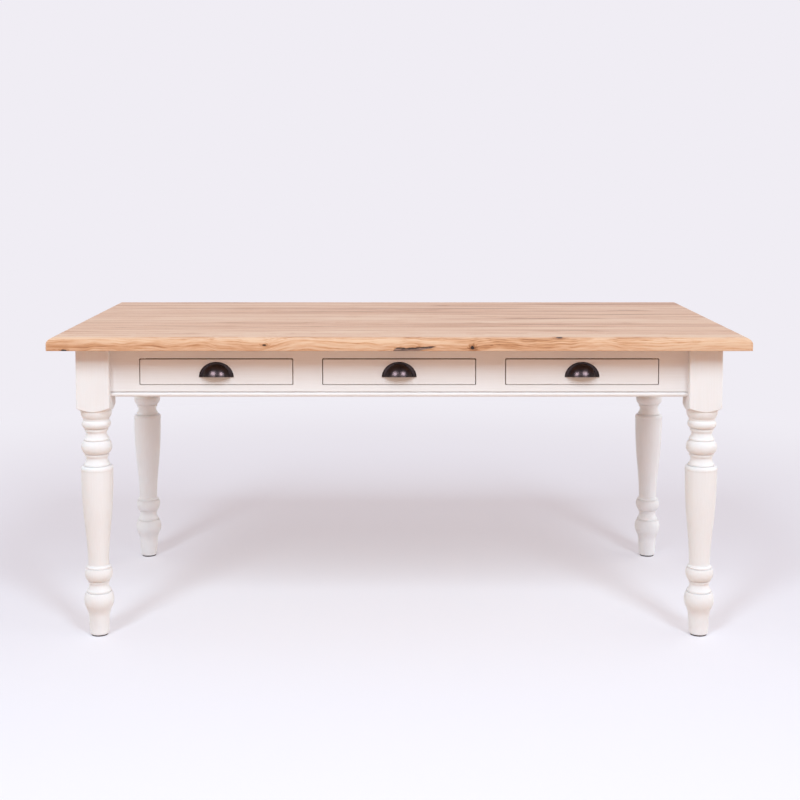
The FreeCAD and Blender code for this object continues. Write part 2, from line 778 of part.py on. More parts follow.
pilot_holes = doc.addObject("Part::Compound", "pilot_holes")
pilot_holes.Links = [pilot_hole(f"pilot_hole_{i}", x, y) for i, (x, y, _) in enumerate(BUTTON_PLACES)]
boards = round(number("board_count"))
for board_index in range(1, boards + 1):
    top_board(board_index, boards, pilot_holes)
group("top_buttons", [button(f"top_button_{i}", x, y, turn) for i, (x, y, turn) in enumerate(BUTTON_PLACES)])
group("button_screws", [wood_screw(f"button_screw_{i}", x, y) for i, (x, y, _) in enumerate(BUTTON_PLACES)])

for corner, x, y, turn in (
    ("front_left", "-leg_x", "-leg_y", 0),
    ("front_right", "leg_x", "-leg_y", 90),
    ("back_right", "leg_x", "leg_y", 180),
    ("back_left", "-leg_x", "leg_y", 270),
):
    leg(f"leg_{corner}", x, y, turn)
    glide(f"leg_glide_{corner}", x, y)

apron("apron_front", "front_apron_length", "0", "-apron_face_y", 0, DRAWER_MIDDLES)
apron("apron_back", "front_apron_length", "0", "apron_face_y", 180)
apron("apron_left", "side_apron_length", "-apron_face_x", "0", -90)
apron("apron_right", "side_apron_length", "apron_face_x", "0", 90)

drawer_supports(DRAWER_MIDDLES)
group("drawer_stops", [
    stop_block(f"drawer_stop_{name}_{side}", f"{middle} + {start}")
    for name, middle in zip(DRAWERS, DRAWER_MIDDLES)
    for side, start in (("left", "-drawer_width / 2"), ("right", "drawer_width / 2 - stop_width"))
])
for drawer_name, drawer_middle in zip(DRAWERS, DRAWER_MIDDLES):
    drawer(drawer_name, drawer_middle)

doc.recompute()
for thing in doc.Objects:
    if "Invalid" in thing.State or "Error" in thing.State:
        raise RuntimeError(f"{thing.Label} failed: {thing.State}")
for node in nodes:
    if node.Shape.isNull() or not node.Shape.isValid() or not node.Shape.Solids:
        raise RuntimeError(f"{node.Label} has no valid solid")
os.makedirs("parts", exist_ok=True)
for node in nodes:
    node.Shape.exportStep(f"parts/{node.Label}.step")
print(len(nodes), "pieces written")
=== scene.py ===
# %% [markdown]
# # A kitchen table with drawers
#
# The table is an oak top of eight boards on a cream-painted frame: four turned legs, four aprons and three
# drawers with dark cup pulls. Its solids are already built to size, so this lesson gives each of them its
# finish, and sets up the light and the camera. The solids come first, because every finish is laid out on
# their places. Each one sits at the origin with its place in its mesh, so its object coordinates are metres
# measured from the floor under the middle of the table.

# %% Load the table
import math

import bmesh
import bpy
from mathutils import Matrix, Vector


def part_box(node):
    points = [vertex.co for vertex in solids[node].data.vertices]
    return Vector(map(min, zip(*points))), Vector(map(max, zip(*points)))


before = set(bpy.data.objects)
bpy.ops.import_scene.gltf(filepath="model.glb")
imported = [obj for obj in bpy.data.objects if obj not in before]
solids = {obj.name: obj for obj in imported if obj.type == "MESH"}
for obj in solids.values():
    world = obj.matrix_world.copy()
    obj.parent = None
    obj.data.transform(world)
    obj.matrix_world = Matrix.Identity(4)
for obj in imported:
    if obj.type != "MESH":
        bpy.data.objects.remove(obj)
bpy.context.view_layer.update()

DRAWERS = ("left", "middle", "right")


def starting(*starts):
    """The names of the solids that start in one of these ways."""
    return [name for name in solids if name.startswith(starts)]


def of_each_drawer(kind):
    """The names of one kind of piece in all the drawers."""
    return [f"drawer_{place}_{kind}" for place in DRAWERS]


def rounded(numbers):
    """The numbers to three places, to print."""
    return [round(x, 3) for x in numbers]


# %% [markdown]
# ## The camera
#
# The picture is taken from the middle of the drawer side, a little above the top, with a longish lens. The
# camera could be aimed by eye, but its distance also sets how fast the top narrows towards the back. So its
# place was worked out from the table's corners, and the picture is then slid by the lens shift, as a view
# camera does, until the table sits a little above the middle.

# %% The camera
PICTURE_SIDE = 800
LENS_PIXELS = 1365.83
SENSOR_WIDTH = 36.0
LENS_CENTRE = (392.81, 269.37)
CAMERA_PLACE = (-0.0161, -3.7997, 1.2048)
CAMERA_TILT = 0.076

lens = bpy.data.cameras.new("camera")
lens.sensor_width = SENSOR_WIDTH
lens.lens = LENS_PIXELS * SENSOR_WIDTH / PICTURE_SIDE
lens.shift_x = 0.5 - LENS_CENTRE[0] / PICTURE_SIDE
lens.shift_y = LENS_CENTRE[1] / PICTURE_SIDE - 0.5
camera = bpy.data.objects.new("camera", lens)
camera.location = CAMERA_PLACE
camera.rotation_euler = (math.pi / 2 - CAMERA_TILT, 0, 0)
bpy.context.scene.collection.objects.link(camera)
bpy.context.scene.camera = camera
bpy.context.scene.view_settings.view_transform = "Standard"
print("lens", round(lens.lens, 2), "mm, shift", round(lens.shift_x, 4), round(lens.shift_y, 4))

# %% [markdown]
# ## Writing a finish as sums
#
# A finish is a tree of nodes, and most of it is arithmetic on masks and patterns. Nodes can be made one by
# one, but then the sum is lost among the links. Here a `Value` wraps one socket, and `a * 0.5 + b` adds the
# Math nodes by itself. `Finish.node` makes every other node, with its settings first and its sockets after.

# %% Values and finishes
class Value:
    """A number, a vector or a colour on its way through a finish."""

    def __init__(self, finish, socket):
        self.finish = finish
        self.socket = socket

    def sum_of(self, operation, *terms):
        return self.finish.node("ShaderNodeMath", {"operation": operation}, dict(enumerate(terms)))

    def __add__(self, other):
        return self.sum_of("ADD", self, other)

    def __sub__(self, other):
        return self.sum_of("SUBTRACT", self, other)

    def __rsub__(self, other):
        return self.sum_of("SUBTRACT", other, self)

    def __mul__(self, other):
        return self.sum_of("MULTIPLY", self, other)

    def __truediv__(self, other):
        return self.sum_of("DIVIDE", self, other)

    def __abs__(self):
        return self.sum_of("ABSOLUTE", self)


class Finish:
    """The nodes of a material, or of the room's light, while they are being made."""

    def __init__(self, holder):
        holder.use_nodes = True
        self.holder = holder
        self.tree = holder.node_tree

    def node(self, kind, settings=None, inputs=None, output=0):
        """A new node's output, as a value."""
        made = self.tree.nodes.new(kind)
        for name, setting in (settings or {}).items():
            if name == "stops":
                fill_ramp(made.color_ramp, setting)
            else:
                setattr(made, name, setting)
        self.feed(made, inputs or {})
        return Value(self, pick(made.outputs, output))

    def feed(self, node, inputs):
        """Link or set a node's sockets."""
        for key, given in inputs.items():
            socket = pick(node.inputs, key)
            if isinstance(given, Value):
                self.tree.links.new(given.socket, socket)
            else:
                socket.default_value = given

    def shade(self, inputs):
        """Link or set the sockets of the shader that the finish ends in."""
        self.feed(self.tree.nodes["Principled BSDF"], inputs)


def pick(sockets, key):
    """A socket by its number, its identifier or its name."""
    if isinstance(key, int):
        return sockets[key]
    return next((s for s in sockets if s.identifier == key), None) or sockets[key]


def fill_ramp(ramp, stops):
    """Set a ramp's stops, each a place from 0 to 1 and a colour."""
    while len(ramp.elements) < len(stops):
        ramp.elements.new(1.0)
    for element, (place, colour) in zip(ramp.elements, stops):
        element.position = place
        element.color = colour


def tint(red, green, blue):
    """A colour as a screen shows it, from 0 to 255, as the light that it stands for."""
    return tuple(((c / 255 + 0.055) / 1.055) ** 2.4 for c in (red, green, blue)) + (1.0,)


print("a mid grey is", rounded(tint(128, 128, 128)))

# %% [markdown]
# The finishes share a few steps: where a point is, a random pattern drawn out along the grain, a soft step
# from 0 to 1, and a mix of two colours. Each is a node or two with most of the sockets filled in.

# %% Steps that the finishes share
def where(finish):
    """The point on the piece, in metres."""
    return finish.node("ShaderNodeTexCoord", output="Object")


def drawn_out(finish, point, scale=(1, 1, 1), turn=0.0):
    """The point turned about +Z and stretched, to lay a pattern out on it."""
    return finish.node("ShaderNodeMapping", None, {"Vector": point, "Rotation": (0, 0, turn), "Scale": scale})


def cloud(finish, point, scale, detail=2.0, output="Fac"):
    """Soft random variation around 0.5. Scale is about how many lumps there are to a metre along each axis."""
    inputs = {"Vector": drawn_out(finish, point, scale), "Scale": 1.0, "Detail": detail}
    return finish.node("ShaderNodeTexNoise", None, inputs, output)


def swing(finish, point, scale, detail=2.0):
    """The same variation around 0, so that it darkens as often as it lightens."""
    return cloud(finish, point, scale, detail) - 0.5


def soft_step(finish, value, start, stop):
    """From 0 at start to 1 at stop, eased at both ends. Start may be the higher of the two."""
    inputs = {"Value": value, "From Min": start, "From Max": stop}
    return finish.node("ShaderNodeMapRange", {"interpolation_type": "SMOOTHSTEP"}, inputs)


def blend(finish, share, first, second):
    """The first colour, turning to the second as the share goes from 0 to 1."""
    inputs = {"Factor_Float": share, "A_Color": first, "B_Color": second}
    return finish.node("ShaderNodeMix", {"data_type": "RGBA"}, inputs, "Result_Color")


def vectors(finish, operation, first, second=(0, 0, 0), output=0):
    """Two vectors put together."""
    return finish.node("ShaderNodeVectorMath", {"operation": operation}, {0: first, 1: second}, output)


def axis(finish, point, name):
    """One of the point's three numbers."""
    return finish.node("ShaderNodeSeparateXYZ", None, {"Vector": point}, name)


def relief(finish, height, depth):
    """The slopes of a surface on which a height from 0 to 1 is that deep, in metres."""
    return finish.node("ShaderNodeBump", None, {"Height": height, "Distance": depth})


def dress(finish, *names):
    """Put the finish on the named solids."""
    for name in names:
        slots = solids[name].data.materials
        slots.clear()
        slots.append(finish.holder)


print("steps ready for", len(solids), "solids")

# %% [markdown]
# ## The floor and the room
#
# The table stands on a seamless pale sweep, so no line shows where the floor ends. A curved backdrop would
# do that from the front alone, and would hide the table from behind. A wide disc that fades into the room's
# own colour looks the same from all round. Near the table it is a real surface that takes the shadow, and
# further out it turns to the room's colour for the camera and for reflections. The light that it throws back
# up at the table has tints of its own: a warm one in front of the drawers, and nearly white behind them.

# %% The floor
ROOM = tint(240, 237, 244)
FLOOR = tint(244, 240, 246)
FLOOR_LIT = tint(248, 244, 249)
LIT_FROM, LIT_TO = 0.6, -0.8
BOUNCE_FRONT = tint(214, 178, 150)
BOUNCE_BACK = tint(236, 230, 232)
BOUNCE_FROM, BOUNCE_TO = -0.5, -0.3
FLOOR_RADIUS = 30.0
FLOOR_SIDES = 96
FADE_LEAST = 0.36
FADE_START = 1.5
FADE_END = 3.2


def seen_directly(finish):
    """1 for a ray from the camera, a reflection or a clear surface, and 0 for light that falls on things."""
    total = finish.node("ShaderNodeLightPath", output="Is Camera Ray")
    for kind in ("Is Glossy Ray", "Is Transmission Ray"):
        total = total + finish.node("ShaderNodeLightPath", output=kind)
    return total


disc = bmesh.new()
bmesh.ops.create_circle(disc, cap_ends=True, segments=FLOOR_SIDES, radius=FLOOR_RADIUS)
floor = bpy.data.objects.new("floor", bpy.data.meshes.new("floor"))
disc.to_mesh(floor.data)
disc.free()
bpy.context.scene.collection.objects.link(floor)

sweep = Finish(bpy.data.materials.new("sweep"))
distance = vectors(sweep, "LENGTH", where(sweep), output="Value")
faded = soft_step(sweep, distance, FADE_START, FADE_END) * (1 - FADE_LEAST) + FADE_LEAST
faded = faded * seen_directly(sweep)
depth = axis(sweep, where(sweep), "Y")
bounce = blend(sweep, soft_step(sweep, depth, BOUNCE_FROM, BOUNCE_TO), BOUNCE_FRONT, BOUNCE_BACK)
matt = sweep.node("ShaderNodeBsdfDiffuse", None, {"Color": blend(sweep, seen_directly(sweep), bounce, FLOOR)})
lit = blend(sweep, soft_step(sweep, depth, LIT_FROM, LIT_TO), ROOM, FLOOR_LIT)
glow = sweep.node("ShaderNodeEmission", None, {"Color": lit})
surface = sweep.node("ShaderNodeMixShader", None, {0: faded, 1: matt, 2: glow})
sweep.feed(sweep.tree.nodes["Material Output"], {"Surface": surface})
floor.data.materials.append(sweep.holder)
print("the floor fades from", FADE_START, "to", FADE_END, "m")

# %% [markdown]
# The room itself is a soft light. What the camera sees of it is one pale colour, which reflections see too,
# but dimmed towards the front, where a studio is dark. What falls on the table differs: most comes from the
# two sides, half as much again from the right as from the left, and little from the front and the back. A
# single even light could do, but the turned legs would look flat in it.

# %% The room
FRONT_GLOW = (0.25, 0.03, 0.02, 1.0)
BACK_GLOW = (0.26, 0.17, 0.22, 1.0)
LEFT_GLOW = (1.02, 1.05, 0.95, 1.0)
RIGHT_GLOW = (1.58, 1.60, 1.52, 1.0)
FRONT_ENDS, BACK_STARTS = -0.6, 0.1
SIDE_STARTS, SIDE_FULL = 0.3, 0.9
UNLIT_SHARE = 0.15
DARK = (0, 0, 0, 1)

room = Finish(bpy.data.worlds.new("room"))
bpy.context.scene.world = room.holder
direction = room.node("ShaderNodeTexCoord", output="Generated")
towards_back = soft_step(room, axis(room, direction, "Y"), FRONT_ENDS, BACK_STARTS)
sideways = axis(room, direction, "X")
cast = blend(room, towards_back, FRONT_GLOW, BACK_GLOW)
cast = blend(room, soft_step(room, sideways, -SIDE_STARTS, -SIDE_FULL), cast, LEFT_GLOW)
cast = blend(room, soft_step(room, sideways, SIDE_STARTS, SIDE_FULL), cast, RIGHT_GLOW)
mirrored = towards_back * (1 - UNLIT_SHARE) + UNLIT_SHARE
to_camera = room.node("ShaderNodeLightPath", output="Is Camera Ray")
direct = seen_directly(room)
shown = to_camera + (direct - to_camera) * mirrored
colour = blend(room, direct, cast, blend(room, shown, DARK, ROOM))
room.feed(room.tree.nodes["Background"], {"Color": colour, "Strength": 1.0})
print("the room glows", LEFT_GLOW[:3], "on the left and", RIGHT_GLOW[:3], "on the right")

# %% [markdown]
# ## The lamps
#
# The shadows tell where the lamps stood. The legs throw two soft shadows each, inwards and back, so two tall
# soft lamps stood high behind the camera, left and right of it. What the gloss shows is lower down: two pale
# spots near the lip of each cup pull. One lamp could do both jobs if it were as wide as the room. Here the
# lamps light the surfaces, and a bright card below each of them shows in the gloss of the pulls. A card would
# glare in the oiled top from behind, so it is linked to the pulls alone, as a studio shades a card off. Each
# row below is a name, a place, a width and a height in metres, and a power in watts.

# %% The lamps
LAMP_AIM = (0, 0, 0.5)
LAMP_COLOUR = (0.655, 0.835, 0.93)
CARD_COLOUR = (0.98, 0.92, 1.0)
LAMPS = (
    ("lamp_left", (-2.45, -5.4, 5.6), (1.4, 3.6), 300),
    ("lamp_right", (2.45, -5.4, 5.7), (1.4, 3.6), 314),
    ("card_left", (-1.8, -3.85, 1.95), (1.5, 1.0), 132),
    ("card_right", (1.8, -3.85, 1.95), (1.5, 1.0), 132),
)

pulls = bpy.data.collections.new("pulls")
for pull_name in of_each_drawer("pull"):
    pulls.objects.link(solids[pull_name])
for lamp_name, lamp_place, lamp_size, lamp_power in LAMPS:
    light = bpy.data.lights.new(lamp_name, "AREA")
    light.shape = "RECTANGLE"
    light.size, light.size_y = lamp_size
    light.energy = lamp_power
    is_card = lamp_name.startswith("card")
    light.color = CARD_COLOUR if is_card else LAMP_COLOUR
    lamp = bpy.data.objects.new(lamp_name, light)
    lamp.location = lamp_place
    lamp.visible_glossy = is_card
    lamp.visible_diffuse = not is_card
    if is_card:
        lamp.light_linking.receiver_collection = pulls
    lamp.rotation_euler = (Vector(LAMP_AIM) - Vector(lamp_place)).to_track_quat("-Z", "Y").to_euler()
    bpy.context.scene.collection.objects.link(lamp)
print("lamps:", ", ".join(name for name, *_ in LAMPS))

# %% [markdown]
# ## Oak
#
# A board is cut from a log, and its figure is where the log's growth rings meet the board's faces. A flat
# picture of grain would not turn the corner at the rounded edge, so the rings are worked out in space: the
# distance from the log's heart, which wanders along the board, divided by the width of a ring. The same
# rings then give long arches on the face, slanting lines on the front edge and arcs on the ends. Bands,
# streaks and fibres, each finer than the last, are drawn out along the board on top of that.

# %% Growth rings
QUIET = (2.2, 1.0, 1.0)
LIVELY = (6.5, 3.0, 3.0)
RIPPLE_SCALE = (8.0, 70.0, 70.0)
RIPPLE = 0.5
EARLY_FULL = 0.1
LATE_STARTS, LATE_FULL = 0.18, 0.62


def wandering(finish, point, wander, bends):
    """The point, moved across the grain as the log bends. Wander is how far, in Y and in Z, and bends is
    about how many bends there are to a metre along each axis."""
    drift = vectors(finish, "SUBTRACT", cloud(finish, point, bends, output="Color"), (0.5, 0.5, 0.5))
    return vectors(finish, "ADD", point, vectors(finish, "MULTIPLY", drift, (0, *wander)))


def growth_rings(finish, point, heart, ring_width):
    """How many rings lie between the log's heart and the point. The heart is at a Y and a Z."""
    across = vectors(finish, "MULTIPLY", vectors(finish, "SUBTRACT", point, (0, *heart)), (0, 1, 1))
    reach = vectors(finish, "LENGTH", across, output="Value")
    return reach / ring_width + swing(finish, point, RIPPLE_SCALE) * RIPPLE


def early_wood(finish, rings):
    """1 in the porous wood that starts each ring, easing to 0 in the hard wood that ends it."""
    share = finish.node("ShaderNodeMath", {"operation": "FRACT"}, {0: rings})
    return soft_step(finish, share, 0.0, EARLY_FULL) * soft_step(finish, share, LATE_FULL, LATE_STARTS)


print("a ring is porous to", LATE_STARTS, "of its width, and hard from", LATE_FULL)

# %% [markdown]
# A knot is the foot of a branch. The rings bend round it, the wood darkens towards it and its middle is
# nearly black. It can be drawn as a distance from a point, counted in the knot's own half sizes. A mark is
# the same without the black: a dash of darker wood, such as a branch leaves further along the grain.

# %% Knots and marks
KNOT_RAGGED_SCALE = (90, 260, 260)
KNOT_BROWN_FROM, KNOT_BROWN_TO = 3.6, 1.2
KNOT_BLACK_FROM, KNOT_BLACK_TO = 1.55, 1.15
MARK_FROM, MARK_TO = 1.6, 0.7


def spot_distance(finish, point, middle, half_sizes):
    """How far the point is from the middle of a knot or mark, counted in its half sizes."""
    away = vectors(finish, "SUBTRACT", point, middle)
    return vectors(finish, "LENGTH", vectors(finish, "DIVIDE", away, half_sizes), output="Value")


def knot_shade(finish, point, knots, marks):
    """Two shares at the point: brown wood in a mark or round a knot, and a knot's black middle."""
    brown, black = 0.0, 0.0
    ragged = cloud(finish, point, KNOT_RAGGED_SCALE)
    for middle, half_sizes in knots:
        away = spot_distance(finish, point, middle, half_sizes) + ragged
        brown = soft_step(finish, away, KNOT_BROWN_FROM, KNOT_BROWN_TO) + brown
        black = soft_step(finish, away, KNOT_BLACK_FROM, KNOT_BLACK_TO) + black
    for middle, half_sizes in marks:
        away = spot_distance(finish, point, middle, half_sizes) + ragged
        brown = soft_step(finish, away, MARK_FROM, MARK_TO) + brown
    return brown, black


print("a knot's edge is ragged on a scale of", KNOT_RAGGED_SCALE)

# %% [markdown]
# The front edge also has a split: a dark wedge that opens at the underside, climbs to the right and thins
# out. Its top is a shallow V, its underside climbs, and its left end is cut off aslant, all made ragged by
# noise. Each line below is a slope and a height at the table's middle. A wedge could be carved out, but the
# real one has been filled and sanded flush, so it is a colour.

# %% The split
SPLIT_DARK = tint(56, 40, 36)
SPLIT_GREY = tint(158, 128, 114)
SPLIT_TOP_LEFT = (-0.089, 0.7560)
SPLIT_TOP_RIGHT = (0.072, 0.7531)
SPLIT_UNDERSIDE = (0.205, 0.7382)
SPLIT_LEFT = -0.0066
SPLIT_RIGHT = 0.092
SPLIT_TIP = 0.01
SPLIT_HEIGHT = 0.7566
SPLIT_FROM, SPLIT_TO = -0.41, -0.43
SPLIT_RAGGED_SCALE = (110, 260, 260)
SPLIT_RAGGED = 0.005
SPLIT_SOFT = 0.0012
SPLIT_HALO = 0.010
SPLIT_RIM = 0.0042


def climb(along, line):
    """The height of a line at a place along the edge."""
    slope, height = line
    return along * slope + height


def split_shade(finish, point, soft):
    """Two shares at the point: the split, soft over that many metres, and the dark rim along its top."""
    along = axis(finish, point, "X")
    height = axis(finish, point, "Z") + swing(finish, point, SPLIT_RAGGED_SCALE, detail=3.0) * SPLIT_RAGGED
    top = along.sum_of("MAXIMUM", climb(along, SPLIT_TOP_LEFT), climb(along, SPLIT_TOP_RIGHT)) - height
    bottom = height - climb(along, SPLIT_UNDERSIDE)
    left = along - SPLIT_LEFT + (SPLIT_HEIGHT - height)
    share = soft_step(finish, top, -soft, soft) * soft_step(finish, bottom, -soft, soft)
    share = share * soft_step(finish, left, -soft, soft)
    share = share * soft_step(finish, along, SPLIT_RIGHT + soft, SPLIT_RIGHT - SPLIT_TIP - soft)
    share = share * soft_step(finish, axis(finish, point, "Y"), SPLIT_FROM, SPLIT_TO)
    return share, soft_step(finish, top, SPLIT_RIM, 0.0)


print("the split ends at", SPLIT_RIGHT, "m")

# %% [markdown]
# Wood is then a sum: a tone for the whole board, bands and streaks along it, licks of flame, fine fibres, the
# rings' porous lines and the knots. The sum picks a colour from pale to dark on a ramp. The pores are short
# fine hollows in the porous part of each ring, and they are what a fingertip feels on oiled oak. Bands and
# streaks run along the board, so they would look like blots on its ends. There they fade, the rings stay and
# the wood turns a little darker, because end grain soaks up more oil.

# %% Wood
BAND_SCALE = (1.1, 24.0, 24.0)
STREAK_SCALE = (2.6, 85.0, 85.0)
FLAME_SCALE = (22.0, 240.0, 240.0)
FIBRE_SCALE = (9.0, 430.0, 430.0)
PORE_SCALE = (70.0, 1500.0, 1500.0)
RING_TONE_SCALE = (0.8, 50.0, 50.0)
BAND_WEIGHT = 1.75
STREAK_WEIGHT = 1.35
FIBRE_WEIGHT = 0.7
PORE_WEIGHT = 0.35
BROWN_WEIGHT = 0.42
HALO_WEIGHT = 1.6
KNOT_BENDS_RINGS = 1.6
PORE_FROM, PORE_TO = 0.56, 0.68
PORE_LEAST = 0.2
KNOT_BLACK = tint(46, 31, 26)
EDGE_FROM, EDGE_TO = -0.415, -0.44
FACE_FIGURE = 0.25
FACE_FLAME = 0.2
END_SOFT = 0.004
END_QUIET = 0.75
END_TONE = 0.13
FILLED_TONE = 0.75
FILLED_LICK = 2.6
FILLED_FIBRE = 1.5
FILLED_RIM = 1.5
FIBRE_RAISED = 0.3
BLACK_SUNK = 3.0
WOOD_RELIEF = 0.00025
FIBRE_DULL = 0.3
PORE_DULL = 0.2


def wood(name, colours, tone, heart, shift, turn=0.0, wander=(0.03, 0.03), bends=QUIET, ring_width=0.0045,
         figure=0.3, flame=0.2, pores=0.5, dull=0.38, knots=(), marks=(), ends_at=0.0, is_split=False):
    """A wood finish. The tone darkens the whole board, the heart is where the log's middle is in Y and Z, and
    shift moves to another stretch of the log. Turn lays the grain along X. Figure, flame and pores are how
    strongly the rings, the licks and the pores show, and dull is the roughness. The end grain starts where X
    is ends_at on either side, if that is given."""
    finish = Finish(bpy.data.materials.new(name))
    laid = drawn_out(finish, where(finish), turn=turn)
    point = wandering(finish, vectors(finish, "ADD", laid, (shift, 0, 0)), wander, bends)
    brown, black = knot_shade(finish, laid, knots, marks)
    if is_split:
        brown = split_shade(finish, laid, SPLIT_HALO)[0] * HALO_WEIGHT + brown
        edge = soft_step(finish, axis(finish, laid, "Y"), EDGE_FROM, EDGE_TO)
        figure = edge * (figure - FACE_FIGURE) + FACE_FIGURE
        flame = edge * (flame - FACE_FLAME) + FACE_FLAME
    rings = growth_rings(finish, point, heart, ring_width) + brown * KNOT_BENDS_RINGS
    porous = early_wood(finish, rings)
    ring_tone = cloud(finish, point, RING_TONE_SCALE, detail=1.0)
    band = swing(finish, point, BAND_SCALE, detail=1.0)
    streak = swing(finish, point, STREAK_SCALE)
    lick = swing(finish, point, FLAME_SCALE, detail=3.0)
    fibre = swing(finish, point, FIBRE_SCALE)
    pore = soft_step(finish, cloud(finish, point, PORE_SCALE, detail=1.0), PORE_FROM, PORE_TO)
    pore = pore * (porous * (1 - PORE_LEAST) + PORE_LEAST) * pores
    grain = band * BAND_WEIGHT + streak * STREAK_WEIGHT + lick * flame + fibre * FIBRE_WEIGHT
    if ends_at:
        end = soft_step(finish, abs(axis(finish, laid, "X")), ends_at - END_SOFT, ends_at)
        grain = grain * (1 - end * END_QUIET) + end * END_TONE
    depth = grain + porous * ring_tone * figure + pore * PORE_WEIGHT + tone
    colour = finish.node("ShaderNodeValToRGB", {"stops": colours}, {"Fac": depth + brown * BROWN_WEIGHT})
    colour = blend(finish, black, colour, KNOT_BLACK)
    if is_split:
        split, rim = split_shade(finish, laid, SPLIT_SOFT)
        paler = lick * FILLED_LICK + fibre * FILLED_FIBRE + FILLED_TONE - rim * FILLED_RIM
        colour = blend(finish, split, colour, blend(finish, paler, SPLIT_DARK, SPLIT_GREY))
        black = black + split
    bumps = relief(finish, fibre * FIBRE_RAISED - pore - black * BLACK_SUNK, WOOD_RELIEF)
    rough = fibre * FIBRE_DULL + pore * PORE_DULL + dull
    finish.shade({"Base Color": colour, "Roughness": rough, "Normal": bumps})
    return finish


print("wood ready")

# %% [markdown]
# The top's eight boards come from different logs, so each has its own tone, its own heart and its own
# stretch of grain. Counted from the drawer side, the first board is the one whose rounded edge faces us. Its
# rings wander more, it has small knots, and its front edge has a dark split that runs up from the underside.
# The flame on that edge is left off its upper face, which is as quiet as the other boards. Each knot and mark
# is the place of its middle and its half sizes.

# %% The oak boards
OAK = (
    (0.0, tint(226, 188, 157)),
    (0.35, tint(216, 168, 134)),
    (0.65, tint(197, 143, 104)),
    (1.0, tint(148, 96, 64)),
)
BOARD_TONES = (0.11, 0.16, 0.30, 0.21, 0.27, 0.30, 0.20, 0.31)
HEART_SIDES = (-0.105, -0.035, 0.050, 0.020, -0.045, 0.030, -0.020, 0.040)
HEART_DROPS = (0.045, 0.110, 0.085, 0.140, 0.095, 0.120, 0.080, 0.130)
BOARD_SHIFT = 3.7
END_ROUND = 0.003
EDGE = -0.45
FACE = 0.78
FRONT_KNOTS = (
    ((0.1805, EDGE, 0.7553), (0.0052, 0.03, 0.0049)),
    ((-0.333, EDGE, 0.762), (0.006, 0.03, 0.0024)),
    ((-0.829, EDGE, 0.7492), (0.008, 0.03, 0.0022)),
    ((0.397, -0.4360, 0.779), (0.010, 0.0045, 0.003)),
)
MARKS = {
    0: (((0.193, EDGE, 0.7500), (0.010, 0.03, 0.003)), ((0.228, EDGE, 0.7615), (0.006, 0.03, 0.0015)),
        ((-0.27, -0.355, FACE), (0.008, 0.008, 0.01))),
    1: (((-0.728, -0.228, FACE), (0.036, 0.006, 0.01)), ((-0.378, -0.232, FACE), (0.045, 0.005, 0.01))),
    2: (((0.210, -0.125, FACE), (0.038, 0.010, 0.01)), ((0.615, -0.130, FACE), (0.032, 0.010, 0.01))),
    3: (((0.330, -0.010, FACE), (0.040, 0.010, 0.01)),),
    5: (((0.680, 0.190, FACE), (0.070, 0.014, 0.01)),),
    6: (((0.130, 0.330, FACE), (0.036, 0.012, 0.01)),),
}
FRONT_BOARD = {
    "wander": (0.01, 0.05), "bends": LIVELY, "ring_width": 0.006, "figure": 0.5, "flame": 1.3,
    "knots": FRONT_KNOTS, "is_split": True,
}

boards = sorted(starting("top_board"), key=lambda n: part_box(n)[0].y)
for count, (board, tone, side, drop) in enumerate(zip(boards, BOARD_TONES, HEART_SIDES, HEART_DROPS)):
    low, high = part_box(board)
    heart = ((low.y + high.y) / 2 + side, low.z - drop)
    settings = {"marks": MARKS.get(count, ()), "ends_at": high.x - END_ROUND}
    if count == 0:
        settings.update(FRONT_BOARD)
    dress(wood(board, OAK, tone, heart, BOARD_SHIFT * (count + 1), **settings), board)
print("oak boards from the front:", boards)

# %% [markdown]
# ## Cream paint
#
# The frame and the drawer fronts are brushed with satin cream paint. A plain colour would look like plastic.
# Brushing leaves faint ridges along each piece, and the coat is thinner and a little warmer in patches. The
# ridges are drawn out along X on the front and back, along Y on the side aprons and up the legs. Nobody
# paints what doesn't show: the paint turns each edge of the aprons and drawer fronts and stops there, and
# the wood behind is bare, which is why the gaps round the drawers are brown. That is a step in the distance
# from the table's middle, because the front and back faces lie at one distance, and the side faces at another.
# Light goes a little way into the paint of the legs, which keeps the fine lines of the turning soft.

# %% Cream paint
CREAM = tint(240, 238, 239)
CREAM_THIN = tint(237, 234, 234)
THIN_FROM, THIN_TO = 0.35, 0.7
THIN_BRUSH, THIN_PATCH = 0.6, 0.4
BARE_PALE = tint(196, 160, 122)
BARE_DARK = tint(160, 120, 86)
BARE_STREAK, BARE_LIFT = 1.6, 0.3
BARE_SOFT = 0.003
BARE_RAGGED = 0.001
BRUSHED_X = (9, 420, 420)
BRUSHED_Y = (420, 9, 420)
BRUSHED_Z = (420, 420, 9)
PATCH_SCALE = (7, 7, 7)
SPECK_SCALE = (900, 900, 900)
SATIN = 0.3
PATCH_DULL, BRUSH_DULL, BARE_DULL = 0.16, 0.1, 0.3
SPECK_RAISED = 0.2
PAINT_RELIEF = 0.00002
PAINT_DEPTH = 0.003
PAINT_REACH = (1.0, 0.85, 0.8)


